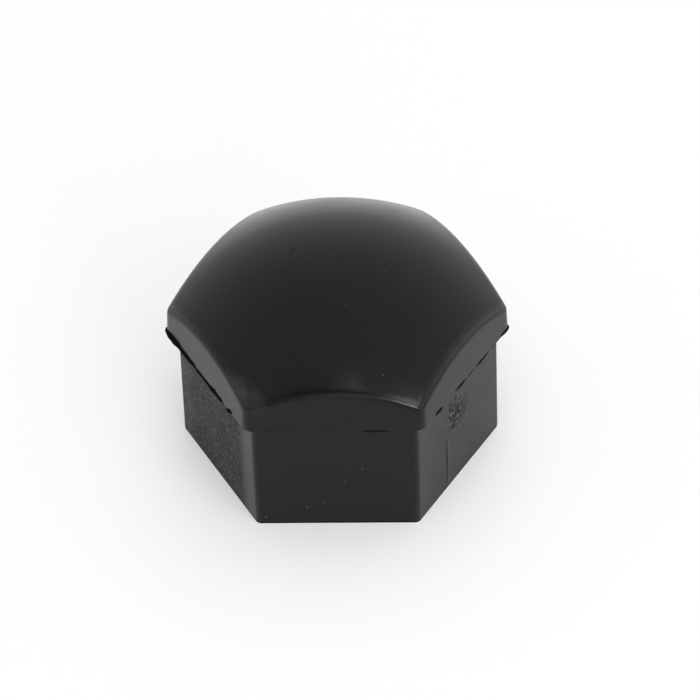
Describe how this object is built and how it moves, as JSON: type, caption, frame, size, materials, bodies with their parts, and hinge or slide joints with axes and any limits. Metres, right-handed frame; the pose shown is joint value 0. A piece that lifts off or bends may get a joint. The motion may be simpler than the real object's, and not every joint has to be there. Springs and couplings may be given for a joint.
{
  "type": "wheel nut cover cap",
  "caption": "Push-on cap with a six-sided skirt, a wider domed head and a ribbed hexagonal socket; it covers a wheel nut or bolt head.",
  "frame": {"origin": "middle of the open mouth, in the plane of the rim that the cap stands on", "axes": "+Z along the cap's axis from the mouth to the crown, +Y square to a flat, +X through a corner"},
  "size_m": [0.0244, 0.0214, 0.0166],
  "materials": {
    "black_plastic": "black moulded plastic with a satin surface"
  },
  "bodies": {
    "root": {"cover_cap": "black_plastic"}
  },
  "joints": []
}
